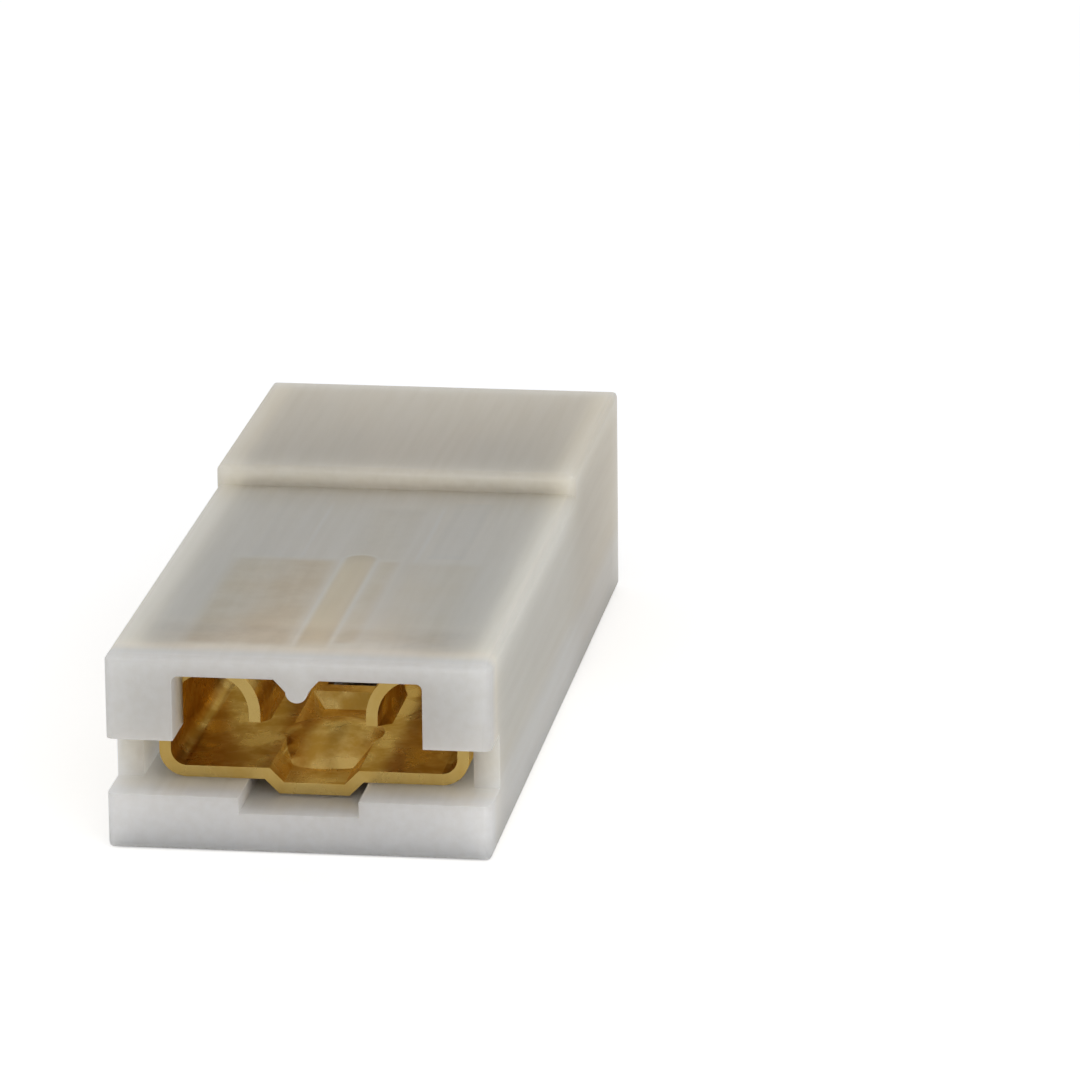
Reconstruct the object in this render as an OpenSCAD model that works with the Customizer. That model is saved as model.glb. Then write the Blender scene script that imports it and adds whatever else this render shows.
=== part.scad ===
// Nylon housing for one flat-tab receptacle, with its rolled brass terminal pushed home.
// Frame: mating face toward -Y, wire end toward +Y, flat base on Z = 0,
// origin under the middle of the base. Millimetres.

/* [Tab] */
// Width of the flat tab that the terminal takes
tab_w = 6.3; // [5.8:0.1:7]
// Thickness of that tab
tab_t = 0.8; // [0.6:0.05:1]

/* [Brass sheet and rolls] */
// Thickness of the brass sheet
sheet_t = 0.3; // [0.22:0.01:0.38]
// Gap between an edge of the tab and the wall of the roll around it
tab_gap = 0.52; // [0.35:0.01:0.7]
// How much the open rolls close in on the thickness of the tab
squeeze = 0.2; // [0.1:0.05:0.3]
// Outer diameter of each curl
roll_d = 2.62; // [2.3:0.02:2.9]
// Outer radius of the bend between the base and each roll
root_r = 0.7; // [0.5:0.05:1]
// Straight stretch between the curl and its hooked edge
leg_l = 0.28; // [0.1:0.01:0.6]
// How far the hooked edge turns under, in degrees
hook_deg = 25; // [10:1:40]
// Length of the rolls
contact_l = 8; // [7:0.1:10]
// Distance from the front of the rolls to their relief notch
relief_y = 4.2; // [3:0.1:5]
// Width of the relief notch
relief_w = 1; // [0.4:0.1:1.4]
// Length of the slanted lead-in at the front of each hooked edge
lead_l = 2.2; // [0.8:0.1:2.8]
// Height of that lead-in
lead_h = 0.6; // [0.2:0.05:0.7]

/* [Pressed base] */
// Width of the flat bottom of the pressed channel, on its underside
channel_w = 1.8; // [1.6:0.05:2.1]
// Depth of the pressed channel
channel_depth = 0.37; // [0.2:0.01:0.45]
// Distance from the end of the channel floor to the end of the rolls
channel_back = 1.7; // [1.5:0.1:2]
// Diameter of the locking dimple at the seat of the tab
dimple_d = 2.6; // [2:0.05:2.8]
// Height of the dimple above the seat of the tab
dimple_h = 0.28; // [0.2:0.01:0.35]
// Distance from the front of the rolls to the middle of the dimple
dimple_y = 3.1; // [2.8:0.1:3.8]
// Flat stretch between the rear end of the channel and the lance
lance_lead = 0.35; // [0.2:0.05:0.5]
// Width of the locking lance
lance_w = 1.5; // [1.2:0.05:1.8]
// Length of the locking lance
lance_l = 2.3; // [1.8:0.05:2.4]
// How far the tip of the lance hangs under the base
lance_drop = 0.72; // [0.4:0.01:0.8]
// Slit around the lance
lance_slit = 0.12; // [0.08:0.01:0.2]

/* [Crimp barrels] */
// Length of the neck behind the rolls, and radius of its sides
neck_l = 1.6; // [1.5:0.05:1.8]
// Height of the walls of the neck
neck_h = 1.1; // [0.6:0.05:2]
// Width of the wire barrel
wire_w = 3; // [2.6:0.05:3.2]
// Height of the wire barrel before it is crimped
wire_h = 2.9; // [2:0.05:3]
// Length of the wire barrel
wire_l = 4; // [3:0.1:5]
// Number of grooves across the inside of the wire barrel
groove_count = 3; // [1:1:4]
// Depth of those grooves
groove_depth = 0.08; // [0.04:0.01:0.12]
// Width of those grooves
groove_w = 0.3; // [0.15:0.01:0.4]
// Length of the low stretch between the two barrels
waist_l = 1.2; // [0.8:0.1:2]
// Height of the walls of that stretch
waist_h = 1.6; // [1.3:0.05:2.2]
// Width of the insulation barrel
grip_w = 3.8; // [3.2:0.05:4.6]
// Height of the insulation barrel before it is crimped
grip_h = 3.6; // [3.3:0.05:4.2]
// Length of the insulation barrel
grip_l = 4; // [3:0.1:5]
// Outer radius of the lower corners of both barrels
barrel_r = 1; // [0.7:0.05:1.2]
// Slant cut off each upper corner of the barrel wings
wing_cut = 0.6; // [0.2:0.05:1]
// Length of the carrier stub at the rear end
stub_l = 0.4; // [0.2:0.05:0.8]
// Width of the carrier stub
stub_w = 1.4; // [1:0.05:2]

/* [Housing] */
// Thickness of the wall under the terminal
base_wall = 1.45; // [1.15:0.05:1.8]
// Thickness of the wall above the terminal
roof_wall = 0.52; // [0.4:0.02:0.8]
// Thickness of each narrow side wall
side_wall = 0.67; // [0.5:0.01:1.2]
// Length of the two front stops that the rolls butt against
stop_l = 1.5; // [1:0.05:2.5]
// Height of the slot that runs across the front and out through both narrow sides
slot_h = 1.45; // [1.2:0.05:1.8]
// Gap between each edge of the tab and the front stop beside it
mouth_gap = 0.03; // [0.02:0.01:0.2]
// Width of the keying rib where it leaves the roof
rib_w = 1.15; // [0.8:0.05:1.3]
// Width of the keying rib at its tip
rib_tip_w = 0.56; // [0.3:0.02:0.6]
// Height of the keying rib
rib_h = 0.6; // [0.3:0.02:0.9]
// Length of the keying rib from the mating face
rib_l = 9.2; // [4:0.1:9.6]
// Radius of its rear end, seen from above
rib_end_r = 0.7; // [0.7:0.05:1.2]
// How far the raised room for the insulation barrel starts ahead of that barrel
room_lead = 0.3; // [0.2:0.05:0.6]
// Length of open cavity behind the terminal, for the wire
entry_l = 3.5; // [1:0.1:6]
// Width of the slanted edge around the wire entry
entry_flare = 0.25; // [0.1:0.05:0.4]
// Radius of the outer edges
edge_r = 0.22; // [0.1:0.02:0.35]
// Radius of the corners of the mouth
mouth_r = 0.16; // [0.05:0.01:0.25]

/* [Fit of the terminal in the housing] */
// Gap beside the terminal, on each side
side_gap = 0.26; // [0.1:0.01:0.4]
// Gap above the rolls and above the insulation barrel
top_gap = 0.11; // [0.05:0.01:0.3]
// Gap between the front stops and the rolls
end_gap = 0.1; // [0.05:0.01:0.3]
// Gap under the pressed channel and around the lance
floor_gap = 0.04; // [0.02:0.01:0.1]
// Where the terminal sits in its side play, from -1 at the left to 1 at the right
side_place = 0.5; // [-1:0.1:1]

/* [Hidden] */
$fn = 64;
cut = 1; // overshoot of a cutting solid past the face that it opens
nick = 0.25; // the same where the solid beyond that face must stay whole

// rolls, seen along the length of the terminal
roll_r = roll_d / 2;
half_w = tab_w / 2 + tab_gap + sheet_t;
seat_z = sheet_t;
hook_z = seat_z + tab_t - squeeze;
roll_h = hook_z + roll_r * sin(hook_deg) + leg_l + roll_r;
roll_path = [
    [half_w - root_r, root_r, 90],
    [roll_h - root_r - roll_r, roll_r, 180],
    [leg_l, roll_r, hook_deg]
];

// stations along the terminal, from the front of its rolls
channel_l = contact_l - channel_back;
lance_y = channel_l + channel_depth + lance_lead;
lance_deg = asin(lance_drop / lance_l);
wire_y = contact_l + neck_l;
waist_y = wire_y + wire_l;
grip_y = waist_y + waist_l;
terminal_l = grip_y + grip_l + stub_l;

// housing
body_w = 2 * (half_w + side_gap + side_wall);
body_h = base_wall + roll_h + top_gap + roof_wall;
collar_h = base_wall + grip_h + top_gap + roof_wall;
front_y = stop_l + end_gap;
body_l = front_y + terminal_l + entry_l;
room_y = front_y + grip_y - room_lead;
collar_y = room_y - roof_wall;
cavity_w = body_w - 2 * side_wall;
mouth_w = tab_w + 2 * mouth_gap;
pocket_z = base_wall - lance_drop - floor_gap;
place_x = side_place * side_gap;

// Draws an X-Z outline out along Y, from y0 to y1.
module along(y0, y1) {
    translate([0, y1, 0])
        rotate([90, 0, 0])
            linear_extrude(y1 - y0) children();
}

// Draws a Y-Z outline out along X, to the given width about X = 0.
module across(w) {
    rotate([90, 0, 90])
        linear_extrude(w, center = true) children();
}

// Rectangle with round corners, from the origin into +X and +Y.
module round_rect(w, h, r) {
    translate([r, 0]) square([w - 2 * r, h]);
    translate([0, r]) square([w, h - 2 * r]);
    for (x = [r, w - r], y = [r, h - r])
        translate([x, y]) circle(r);
}

// Block with every outer edge rounded, standing on Z = 0 from Y = 0.
module soft_block(w, l, h, r) {
    intersection() {
        along(0, l) translate([-w / 2, 0]) round_rect(w, h, r);
        across(w) round_rect(l, h, r);
        linear_extrude(h) translate([-w / 2, 0]) round_rect(w, l, r);
    }
}

// ---- housing ----

// Cross-section of the keying rib, hanging from the roof, with a round tip.
module rib_outline() {
    tip_r = rib_tip_w / 2;
    polygon([[-rib_w / 2, 0], [rib_w / 2, 0], [tip_r, tip_r - rib_h], [-tip_r, tip_r - rib_h]]);
    translate([0, tip_r - rib_h]) circle(tip_r);
}

// Keying rib under the roof, from the mating face to its round rear end.
module rib() {
    intersection() {
        along(0, rib_l) translate([0, body_h - roof_wall]) rib_outline();
        linear_extrude(body_h) {
            translate([-rib_end_r, 0]) square([2 * rib_end_r, rib_l - rib_end_r]);
            translate([0, rib_l - rib_end_r]) circle(rib_end_r);
        }
    }
}

// Room for the terminal behind the front stops, open at the wire end.
module cavity() {
    difference() {
        translate([-cavity_w / 2, stop_l, base_wall])
            cube([cavity_w, body_l - stop_l + cut, body_h - roof_wall - base_wall]);
        rib();
    }
    translate([-cavity_w / 2, room_y, base_wall])
        cube([cavity_w, body_l - room_y + cut, collar_h - roof_wall - base_wall]);
}

// Front opening: the mouth between the stops, with the rib left standing in it,
// and the slot that runs out through both narrow sides.
module front_opening() {
    difference() {
        along(-cut, stop_l + cut)
            translate([-mouth_w / 2, base_wall])
                round_rect(mouth_w, body_h - roof_wall - base_wall, mouth_r);
        rib();
    }
    translate([-body_w / 2 - cut, -cut, base_wall])
        cube([body_w + 2 * cut, stop_l + cut, slot_h]);
}

// Groove in the floor for the pressed channel, and the pocket that the lance drops into.
module floor_relief() {
    groove_w_top = channel_w + 2 * channel_depth + 2 * side_gap;
    lance_end = lance_y + lance_l * cos(lance_deg);
    translate([-groove_w_top / 2, -cut, base_wall - channel_depth - floor_gap])
        cube([groove_w_top, body_l + 2 * cut, channel_depth + floor_gap + nick]);
    translate([-lance_w / 2 - side_gap - floor_gap, front_y + lance_y, pocket_z])
        cube([lance_w + 2 * (side_gap + floor_gap), lance_end - lance_y + lance_slit,
              base_wall - pocket_z]);
}

// Slanted edge around the wire entry.
module entry_edge() {
    w = cavity_w / 2;
    top = collar_h - roof_wall;
    intersection() {
        linear_extrude(collar_h)
            polygon([
                [-w, body_l - entry_flare], [w, body_l - entry_flare],
                [w + entry_flare + cut, body_l + cut], [-w - entry_flare - cut, body_l + cut]
            ]);
        across(body_w + 2 * cut)
            polygon([
                [body_l - entry_flare, base_wall], [body_l + cut, base_wall - entry_flare - cut],
                [body_l + cut, top + entry_flare + cut], [body_l - entry_flare, top]
            ]);
    }
}

module housing() {
    color("ghostwhite")
        translate([0, -body_l / 2, 0])
            difference() {
                union() {
                    soft_block(body_w, body_l, body_h, edge_r);
                    translate([0, collar_y, 0])
                        soft_block(body_w, body_l - collar_y, collar_h, edge_r);
                }
                cavity();
                front_opening();
                floor_relief();
                entry_edge();
            }
}

// ---- receptacle terminal ----

// Bend of the sheet, starting under the origin and turning left by up to half a turn.
module sheet_bend(r, deg) {
    steps = ceil(deg / 60);
    intersection() {
        difference() {
            circle(r);
            circle(r - sheet_t);
        }
        polygon([[0, 0], for (i = [0 : steps]) 2 * r * [sin(i * deg / steps), -cos(i * deg / steps)]]);
    }
}

// Follows a bend list of [straight run, outer radius, angle] and draws the sheet along it.
module bent_sheet(path, i = 0) {
    if (i < len(path)) {
        run = path[i][0];
        r = path[i][1];
        deg = path[i][2];
        square([run, sheet_t]);
        translate([run, r]) {
            sheet_bend(r, deg);
            rotate(deg) translate([0, -r]) bent_sheet(path, i + 1);
        }
    }
}

// Both rolls with the base between them.
module rolls() {
    difference() {
        for (side = [0, 1])
            mirror([side, 0, 0])
                along(0, contact_l) bent_sheet(roll_path);
        // relief notch across the inner half of both curls
        translate([-half_w + roll_r, relief_y, hook_z - nick])
            cube([2 * (half_w - roll_r), relief_w, roll_h]);
        // slanted lead-in at the front of both hooked edges
        across(2 * (half_w - roll_r))
            polygon([[-cut, hook_z - nick], [lead_l, hook_z - nick], [lead_l, hook_z],
                     [0, hook_z + lead_h], [-cut, hook_z + lead_h]]);
    }
}

// Tapered trough with 45 degree sides and rear end, open at the front.
module trough(floor_w, floor_z, top_z, end_y) {
    rise = top_z - floor_z;
    intersection() {
        along(-cut, end_y + rise)
            polygon([[-floor_w / 2, floor_z], [floor_w / 2, floor_z],
                     [floor_w / 2 + rise, top_z], [-floor_w / 2 - rise, top_z]]);
        across(floor_w + 2 * rise)
            polygon([[-cut, floor_z], [end_y, floor_z], [end_y + rise, top_z], [-cut, top_z]]);
    }
}

// Base with its rolls, the pressed channel, the dimple and the window of the lance.
module contact() {
    skew = sheet_t * tan(22.5);
    dimple_r = (pow(dimple_d / 2, 2) + pow(dimple_h, 2)) / (2 * dimple_h);
    dimple_z = seat_z + dimple_h - dimple_r;
    difference() {
        union() {
            difference() {
                union() {
                    rolls();
                    intersection() {
                        trough(channel_w, -channel_depth, sheet_t / 2, channel_l);
                        translate([-half_w, 0, -channel_depth])
                            cube([2 * half_w, contact_l, channel_depth + sheet_t]);
                    }
                }
                trough(channel_w - 2 * skew, sheet_t - channel_depth, sheet_t + nick, channel_l - skew);
            }
            // dimple, pressed up from the floor of the channel, between its slanted sides
            intersection() {
                translate([0, dimple_y, dimple_z]) sphere(dimple_r);
                trough(channel_w, -channel_depth, seat_z + dimple_h + nick, channel_l);
            }
        }
        translate([0, dimple_y, dimple_z]) sphere(dimple_r - sheet_t);
    }
}

// Locking lance, bent down and back from the front edge of its window.
module lance() {
    translate([-lance_w / 2, lance_y, 0])
        rotate([-lance_deg, 0, 0])
            cube([lance_w, lance_l, sheet_t]);
}

module lance_window() {
    translate([-lance_w / 2 - lance_slit, lance_y + sheet_t * sin(lance_deg), -cut])
        cube([lance_w + 2 * lance_slit, lance_l + lance_slit, 2 * cut]);
}

// Plan of the neck: it narrows to the wire barrel in two quarter rounds.
module neck_plan(inset) {
    difference() {
        translate([-wire_w / 2 - neck_l, 0]) square([wire_w + 2 * neck_l, neck_l]);
        for (side = [-1, 1])
            translate([side * (wire_w / 2 + neck_l), neck_l]) circle(neck_l + inset);
    }
}

module neck() {
    difference() {
        linear_extrude(neck_h) neck_plan(0);
        translate([0, 0, sheet_t]) linear_extrude(neck_h) neck_plan(sheet_t);
    }
}

// Filled U outline with round lower corners.
module u_outline(w, h, r) {
    translate([-w / 2, r]) square([w, h - r]);
    translate([-w / 2 + r, 0]) square([w - 2 * r, r]);
    for (side = [-1, 1])
        translate([side * (w / 2 - r), r]) circle(r);
}

// Open barrel from y = 0, with slanted upper corners on its two wings.
module barrel(w, h, l, corner) {
    intersection() {
        difference() {
            along(0, l) u_outline(w, h, barrel_r);
            along(-cut, l + cut)
                translate([0, sheet_t]) u_outline(w - 2 * sheet_t, h, barrel_r - sheet_t);
        }
        across(w)
            polygon([[0, 0], [l, 0], [l, h - corner], [l - corner, h], [corner, h], [0, h - corner]]);
    }
}

module wire_barrel() {
    pitch = wire_l / (groove_count + 1);
    difference() {
        barrel(wire_w, wire_h, wire_l, wing_cut);
        for (i = [1 : groove_count])
            along(i * pitch - groove_w / 2, i * pitch + groove_w / 2)
                translate([0, sheet_t - groove_depth])
                    u_outline(wire_w - 2 * (sheet_t - groove_depth), wire_h,
                              barrel_r - sheet_t + groove_depth);
    }
}

module receptacle_terminal() {
    color("goldenrod")
        translate([place_x, front_y - body_l / 2, base_wall]) {
            difference() {
                union() {
                    contact();
                    translate([0, contact_l, 0]) neck();
                }
                lance_window();
            }
            lance();
            translate([0, wire_y, 0]) wire_barrel();
            translate([0, waist_y, 0]) barrel(wire_w, waist_h, waist_l, 0);
            translate([0, grip_y, 0]) barrel(grip_w, grip_h, grip_l, wing_cut);
            translate([-stub_w / 2, terminal_l - stub_l, 0]) cube([stub_w, stub_l, sheet_t]);
        }
}

housing();
receptacle_terminal();
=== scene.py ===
"""One-way receptacle connector: a moulded nylon housing with a rolled brass terminal in it."""
import math

import bpy
from mathutils import Matrix, Vector


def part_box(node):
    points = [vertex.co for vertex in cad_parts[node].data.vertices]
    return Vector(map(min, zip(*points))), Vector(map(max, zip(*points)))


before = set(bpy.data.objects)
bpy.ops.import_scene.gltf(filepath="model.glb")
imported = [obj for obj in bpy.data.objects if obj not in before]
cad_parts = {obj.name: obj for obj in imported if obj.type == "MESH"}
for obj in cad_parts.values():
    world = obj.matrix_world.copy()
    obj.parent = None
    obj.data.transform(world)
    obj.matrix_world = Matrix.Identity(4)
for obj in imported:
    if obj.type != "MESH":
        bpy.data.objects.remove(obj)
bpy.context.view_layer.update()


# ---- housing ----
# The insulating box around the terminal, open at the mating face and at the wire end. It is
# injection moulded in one piece from nylon 66 with no filler and no dye, in a spark-eroded
# steel mould that leaves its faces satin. The terminal goes in from the wire end.

MM = 0.001


def linear(hex_colour):
    """sRGB hex colour as linear RGBA."""
    channels = [int(hex_colour[i:i + 2], 16) / 255 for i in (1, 3, 5)]
    return [c / 12.92 if c <= 0.04045 else ((c + 0.055) / 1.055) ** 2.4 for c in channels] + [1.0]


def new_material(name):
    """A new material without nodes, and its node tree."""
    material = bpy.data.materials.new(name)
    material.use_nodes = True
    material.node_tree.nodes.clear()
    return material, material.node_tree


def add_node(tree, kind, inputs, **settings):
    """Adds a node. Inputs gives each input the socket that feeds it, or its own value."""
    node = tree.nodes.new(kind)
    for name, value in settings.items():
        setattr(node, name, value)
    for name, given in inputs.items():
        if isinstance(given, bpy.types.NodeSocket):
            tree.links.new(given, node.inputs[name])
        else:
            node.inputs[name].default_value = given
    return node


def soft_mask(tree, *ramps, most=1.0):
    """Product of smooth ramps. Each is a measure, where it gives none, and where it gives all."""
    mask = most
    for measure, none_at, all_at in ramps:
        ramp = add_node(tree, "ShaderNodeMapRange", {
            "Value": measure, "From Min": none_at, "From Max": all_at,
        }, interpolation_type="SMOOTHSTEP").outputs["Result"]
        mask = add_node(tree, "ShaderNodeMath", {0: mask, 1: ramp}, operation="MULTIPLY").outputs[0]
    return mask


def between(measure, low, high, blur):
    """The two ramps of a band from low to high."""
    return (measure, low - blur, low + blur), (measure, high + blur, high - blur)


def break_edges(piece, width):
    """Rounds the sharp edges of a piece by the small radius that its tool leaves."""
    piece.modifiers.new("weld", "WELD").merge_threshold = 0.0005 * MM
    bevel = piece.modifiers.new("edges", "BEVEL")
    bevel.width = width
    bevel.segments = 2
    bevel.limit_method = "ANGLE"
    bevel.angle_limit = math.radians(32)
    bevel.harden_normals = True


# Natural nylon, satin moulded. It is milky, with faint clouds and with flow lines along its
# length: neutral where it is solid, warmer and greyer where a thin wall covers the cavity.
# Light goes several millimetres into it, so that its edges and thin walls glow.
CLOUD, FLOW_LINE = 1.3 * MM, 0.3 * MM
nylon, tree = new_material("satin_moulded_natural_nylon")
place = add_node(tree, "ShaderNodeTexCoord", {}).outputs["Object"]
axes = add_node(tree, "ShaderNodeSeparateXYZ", {"Vector": place}).outputs
across, height = axes["X"], axes["Z"]
mating_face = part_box("housing")[0].y
behind = add_node(tree, "ShaderNodeMath", {0: axes["Y"], 1: mating_face},
                  operation="SUBTRACT").outputs[0]
clouds = add_node(tree, "ShaderNodeTexNoise", {
    "Vector": place, "Scale": 1 / CLOUD, "Detail": 3.0, "Roughness": 0.6,
}).outputs["Fac"]
lengthwise = add_node(tree, "ShaderNodeMapping", {"Vector": place, "Scale": (1.0, 0.05, 1.0)})
flow = add_node(tree, "ShaderNodeTexNoise", {
    "Vector": lengthwise.outputs[0], "Scale": 1 / FLOW_LINE, "Detail": 2.0,
}).outputs["Fac"]

# The base plate is solid all along. The walls above it are solid only at the mating face, and there
# they are painted a darker grey than the base plate: painted shade that evens out how the light
# falls on the upper and the lower part of the face.
thin = soft_mask(tree, (behind, 0.3 * MM, 1.1 * MM))
base_plate, walls = [
    add_node(tree, "ShaderNodeMix", {0: thin, 6: linear(front), 7: linear(rear)},
             data_type="RGBA").outputs[2]
    for front, rear in (("#F0EEEA", "#F0EBDF"), ("#C2C1BE", "#EFE1C8"))
]
above_base = soft_mask(tree, (height, 1.2 * MM, 2.2 * MM))
colour = add_node(tree, "ShaderNodeMix", {0: above_base, 6: base_plate, 7: walls},
                  data_type="RGBA").outputs[2]
# Painted shade: from 13 mm behind the mating face on to the wire end the housing is darkened, as
# the light falls from the front.
tints = [(soft_mask(tree, (behind, 13.0 * MM, 17.5 * MM)), "MULTIPLY", "#E6E3E1")]

# What lies close under the thin roof shows through it as soft areas: the rolls as their brass, and
# the gap, the empty cavities and the open middle of the wire barrel as painted shade. Each is its
# left, right, near and far edge and their blur, in millimetres from the middle and the mating face.
ROOF = 5.12 * MM
SHOWING = [
    (-3.90, 3.90, 0.8, 2.8, 0.50, "#DEDDDF"),    # gap in front of the rolls
    (-3.10, -0.45, 1.3, 8.8, 0.25, "#E4D9CB"),   # left roll
    (-1.75, -0.60, 1.8, 8.5, 0.45, "#F2EEEA"),   # its hooked edge
    (1.50, 3.35, 1.8, 8.7, 0.30, "#F8F3EB"),     # right roll
    (0.70, 1.20, 1.6, 8.8, 0.15, "#ECE4D8"),     # its hooked edge
    (-2.80, -1.55, 9.0, 15.0, 0.12, "#F9FAFC"),  # empty cavity left of the wire barrel
    (1.90, 2.85, 9.2, 14.4, 0.12, "#F8FAFD"),    # empty cavity right of it
    (-0.20, 1.10, 8.9, 13.7, 0.30, "#F0EFEC"),   # open middle of the wire barrel
]
on_roof = (height, ROOF - 0.35 * MM, ROOF - 0.15 * MM)
cloudy = add_node(tree, "ShaderNodeMapRange", {
    "Value": clouds, "From Min": 0.3, "From Max": 0.7, "To Min": 0.65, "To Max": 1.0,
}, interpolation_type="SMOOTHSTEP").outputs["Result"]
for left, right, near, far, blur, tint in SHOWING:
    sides = between(across, left * MM, right * MM, blur * MM)
    ends = between(behind, near * MM, far * MM, blur * MM)
    tints.append((soft_mask(tree, on_roof, *sides, *ends, most=cloudy), "MULTIPLY", tint))

# The keying rib under the roof shows as a brown strip, with a painted highlight as a pale outline
# around its rear end, and the glints on the upper edges of the wire barrel are painted as two pale
# lines.
RIB_MIDDLE, RIB_HALF, RIB_END = 0.16 * MM, 0.46 * MM, 9.4 * MM
PAINTED_HIGHLIGHT = 0.16
beside = add_node(tree, "ShaderNodeMath", {0: across, 1: RIB_MIDDLE},
                  operation="SUBTRACT").outputs[0]
past = add_node(tree, "ShaderNodeMath", {0: behind, 1: RIB_END - RIB_HALF},
                operation="SUBTRACT").outputs[0]
past = add_node(tree, "ShaderNodeMath", {0: past, 1: 0.0}, operation="MAXIMUM").outputs[0]
offset = add_node(tree, "ShaderNodeCombineXYZ", {"X": beside, "Y": past}).outputs[0]
from_rib = add_node(tree, "ShaderNodeVectorMath", {0: offset}, operation="LENGTH").outputs["Value"]
along_rib = (behind, 0.8 * MM, 2.0 * MM)
inside = (from_rib, RIB_HALF, RIB_HALF - 0.15 * MM)
outline = between(from_rib, RIB_HALF - 0.02 * MM, RIB_HALF + 0.06 * MM, 0.05 * MM)
tints += [
    (soft_mask(tree, on_roof, along_rib, inside), "MULTIPLY", "#EADFCF"),
    (soft_mask(tree, on_roof, along_rib, *outline, most=PAINTED_HIGHLIGHT), "SCREEN", "#FFF2E2"),
]
# Painted highlights: the glints on the wire barrel's two upper edges, seen through the roof.
for middle in (-1.43 * MM, 1.62 * MM):
    edge = between(across, middle - 0.05 * MM, middle + 0.05 * MM, 0.06 * MM)
    run = between(behind, 8.9 * MM, 14.0 * MM, 0.6 * MM)
    tints.append((soft_mask(tree, on_roof, *edge, *run, most=PAINTED_HIGHLIGHT), "SCREEN", "#FFFAF0"))
tints.append((soft_mask(tree, (flow, 0.3, 0.7)), "MULTIPLY", "#FAF9F7"))
for amount, blend, tint in tints:
    colour = add_node(tree, "ShaderNodeMix", {0: amount, 6: colour, 7: linear(tint)},
                      data_type="RGBA", blend_type=blend).outputs[2]

# The mould's spark-eroded grain is about 0.03 mm wide. It is drawn at 0.09 mm, so that it
# shows. The clouds are shallow sinks too.
GRAIN, GRAIN_DEPTH, SINK_DEPTH = 0.09 * MM, 0.004 * MM, 0.008 * MM
spark = add_node(tree, "ShaderNodeTexNoise", {
    "Vector": place, "Scale": 1 / GRAIN, "Detail": 2.0, "Roughness": 0.55,
}).outputs["Fac"]
sink = add_node(tree, "ShaderNodeBump", {
    "Height": clouds, "Strength": 1.0, "Distance": SINK_DEPTH,
}).outputs["Normal"]
satin = add_node(tree, "ShaderNodeBump", {
    "Height": spark, "Normal": sink, "Strength": 1.0, "Distance": GRAIN_DEPTH,
}).outputs["Normal"]
nylon_body = add_node(tree, "ShaderNodeBsdfPrincipled", {
    "Base Color": colour, "Normal": satin, "Roughness": 0.36, "IOR": 1.53,
    "Subsurface Weight": 1.0, "Subsurface Radius": (1.0, 0.98, 0.94),
    "Subsurface Scale": 6.0 * MM, "Subsurface Anisotropy": 0.3,
})
add_node(tree, "ShaderNodeOutputMaterial", {"Surface": nylon_body.outputs[0]})

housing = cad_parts["housing"]
housing.data.materials.clear()
housing.data.materials.append(nylon)
break_edges(housing, 0.06 * MM)


# ---- receptacle terminal ----
# The contact that grips the flat tab between its two rolls and its base, with two open
# barrels for the wire. It is stamped and rolled from one 0.3 mm brass strip, lies loose on
# the housing's floor and is held there by its lance.

# Bare cold-rolled brass, satin from the rolls. It has fine lines along the strip and brown
# tarnish in patches that are also duller, and is paler and torn where the die sheared it.
# The rolling lines are finer than 0.01 mm. They are drawn at 0.05 mm, so that they show.
TARNISH, ROLLING_LINE, TORN_GRAIN, RELIEF = 1.0 * MM, 0.05 * MM, 0.06 * MM, 0.002 * MM
brass, tree = new_material("cold_rolled_brass_strip")
surface = add_node(tree, "ShaderNodeTexCoord", {}).outputs
place = surface["Object"]
stain = add_node(tree, "ShaderNodeTexNoise", {
    "Vector": place, "Scale": 1 / TARNISH, "Detail": 4.0, "Roughness": 0.6,
}).outputs["Fac"]
lengthwise = add_node(tree, "ShaderNodeMapping", {"Vector": place, "Scale": (1.0, 0.03, 1.0)})
rolling = add_node(tree, "ShaderNodeTexNoise", {
    "Vector": lengthwise.outputs[0], "Scale": 1 / ROLLING_LINE, "Detail": 2.0,
}).outputs["Fac"]
torn = add_node(tree, "ShaderNodeTexNoise", {
    "Vector": place, "Scale": 1 / TORN_GRAIN, "Detail": 3.0,
}).outputs["Fac"]

# The sheared edges are the faces that look forwards or backwards.
facing = add_node(tree, "ShaderNodeSeparateXYZ", {"Vector": surface["Normal"]}).outputs["Y"]
facing = add_node(tree, "ShaderNodeMath", {0: facing}, operation="ABSOLUTE").outputs[0]
sheared = (facing, 0.75, 0.95)
clean = soft_mask(tree, (stain, 0.36, 0.62))
colour = linear("#D0A44C")
for amount, tint in ((clean, "#EAC97D"), (soft_mask(tree, sheared, most=0.75), "#C0A35F")):
    colour = add_node(tree, "ShaderNodeMix", {0: amount, 6: colour, 7: linear(tint)},
                      data_type="RGBA").outputs[2]
dullness = add_node(tree, "ShaderNodeMapRange", {
    "Value": stain, "From Min": 0.35, "From Max": 0.65, "To Min": 0.37, "To Max": 0.24,
}, interpolation_type="SMOOTHSTEP").outputs["Result"]
relief = add_node(tree, "ShaderNodeMix", {
    0: soft_mask(tree, sheared), 2: rolling, 3: torn,
}).outputs[0]
grain = add_node(tree, "ShaderNodeBump", {"Height": relief, "Strength": 1.0, "Distance": RELIEF})
brass_body = add_node(tree, "ShaderNodeBsdfPrincipled", {
    "Base Color": colour, "Roughness": dullness, "Normal": grain.outputs["Normal"],
    "Metallic": 1.0, "Specular Tint": linear("#F6E4B4"),
})
add_node(tree, "ShaderNodeOutputMaterial", {"Surface": brass_body.outputs[0]})

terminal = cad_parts["receptacle_terminal"]
terminal.data.materials.clear()
terminal.data.materials.append(brass)
break_edges(terminal, 0.035 * MM)


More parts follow.
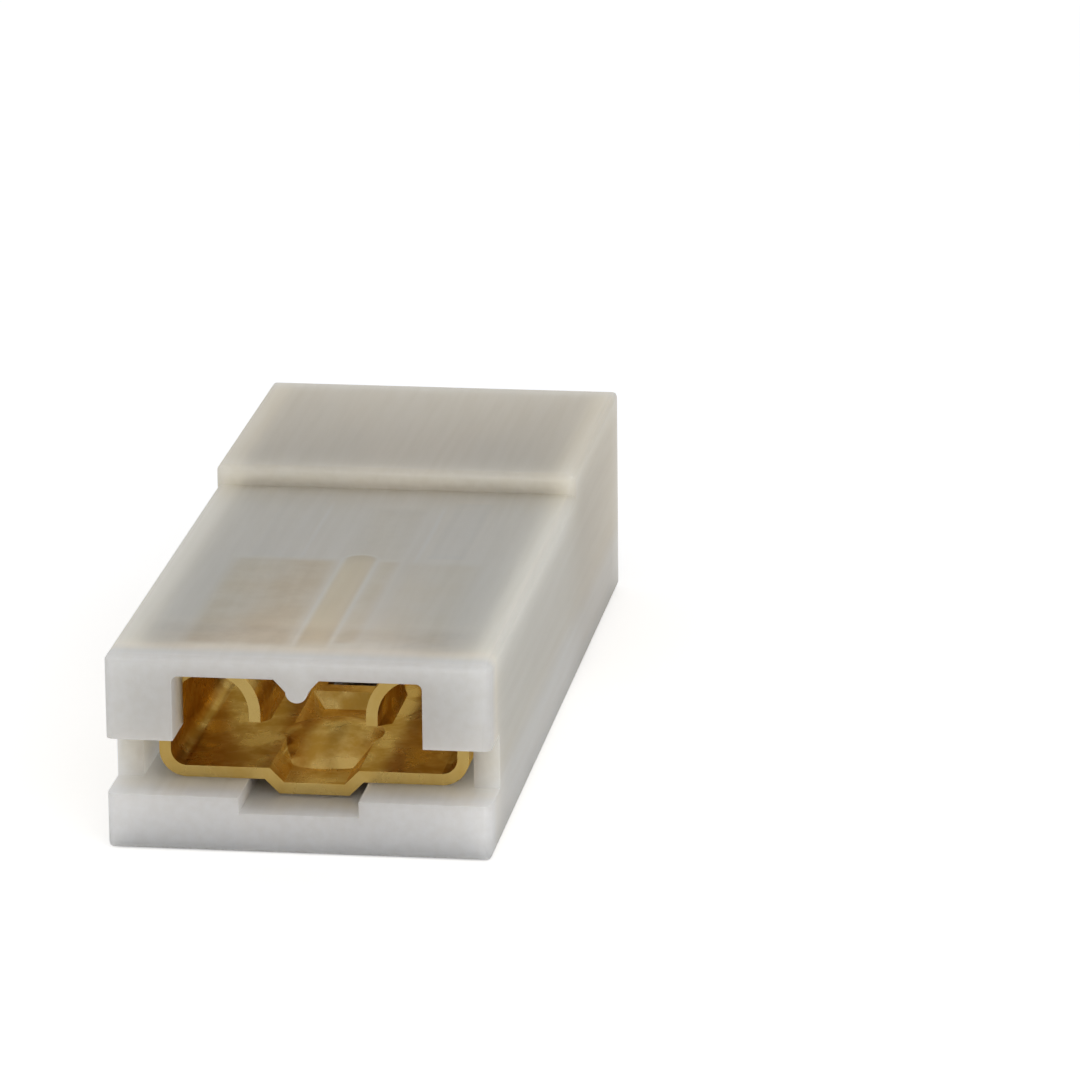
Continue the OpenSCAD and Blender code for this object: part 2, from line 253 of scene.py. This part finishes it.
# ---- table top ----
# A smooth sheet of white paper that the connector lies on. It is plain white to the eye and
# keeps the connector's soft shadow.
HALF_WIDTH = 2.0
CLEARANCE = 0.02 * MM  # keeps it apart from the connector's underside
paper, tree = new_material("white_paper")
path = add_node(tree, "ShaderNodeLightPath", {}).outputs
lit = add_node(tree, "ShaderNodeBsdfDiffuse", {"Color": linear("#F4F4F4")}).outputs[0]
glow = add_node(tree, "ShaderNodeEmission", {
    "Color": linear("#FFFFFF"), "Strength": 0.4,
}).outputs[0]
whitened = add_node(tree, "ShaderNodeAddShader", {0: lit, 1: glow}).outputs[0]
seen = add_node(tree, "ShaderNodeMixShader", {0: path["Is Camera Ray"], 1: lit, 2: whitened})
add_node(tree, "ShaderNodeOutputMaterial", {"Surface": seen.outputs[0]})

corners = [(x * HALF_WIDTH, y * HALF_WIDTH, -CLEARANCE)
           for x, y in ((-1, -1), (1, -1), (1, 1), (-1, 1))]
sheet = bpy.data.meshes.new("table_top")
sheet.from_pydata(corners, [], [(0, 1, 2, 3)])
sheet.materials.append(paper)
table_top = bpy.data.objects.new("table_top", sheet)
bpy.context.scene.collection.objects.link(table_top)


# ---- light ----
# A white room for even light, and one large softbox to the front right, low enough to reach
# into the mouth.
world = bpy.data.worlds.new("white_room")
bpy.context.scene.world = world
world.use_nodes = True
tree = world.node_tree
tree.nodes.clear()
path = add_node(tree, "ShaderNodeLightPath", {}).outputs
room, white = [
    add_node(tree, "ShaderNodeBackground", {
        "Color": linear("#FFFFFF"), "Strength": strength,
    }).outputs[0] for strength in (0.65, 1.0)
]
seen = add_node(tree, "ShaderNodeMixShader", {0: path["Is Camera Ray"], 1: room, 2: white})
add_node(tree, "ShaderNodeOutputWorld", {"Surface": seen.outputs[0]})


def toward(azimuth, elevation):
    """Unit vector from the part. Azimuth 0 is ahead of the mating face, 90 on its right."""
    a, e = math.radians(azimuth), math.radians(elevation)
    return Vector((math.sin(a) * math.cos(e), -math.cos(a) * math.cos(e), math.sin(e)))


front_right = toward(24, 22)
softbox = bpy.data.objects.new("front_softbox", bpy.data.lights.new("front_softbox", "AREA"))
softbox.data.size = 0.16
softbox.data.energy = 0.095
softbox.location = front_right * 0.17
softbox.rotation_euler = front_right.to_track_quat("Z", "Y").to_euler()
bpy.context.scene.collection.objects.link(softbox)


# ---- camera ----
# A long lens in front, a little to the right and above, rolled by half a degree. It stands
# aside from the line to the part, so that the part lies low and to the left in its view.
DISTANCE, ASIDE, ABOVE = 200 * MM, 4.334 * MM, 4.523 * MM
back = toward(8.29, 16.36)
roll = math.radians(-0.57)
level = Vector((0, 0, 1)).cross(back).normalized()
right = level * math.cos(roll) + back.cross(level) * math.sin(roll)
up = back.cross(right)
camera = bpy.data.objects.new("camera", bpy.data.cameras.new("camera"))
camera.data.sensor_width = 36
camera.data.lens = 249.8
camera.data.clip_start = 0.01
camera.matrix_world = (Matrix.Translation(back * DISTANCE + right * ASIDE + up * ABOVE)
                       @ Matrix((right, up, back)).transposed().to_4x4())
bpy.context.scene.collection.objects.link(camera)
bpy.context.scene.camera = camera
bpy.context.scene.view_settings.view_transform = "Standard"
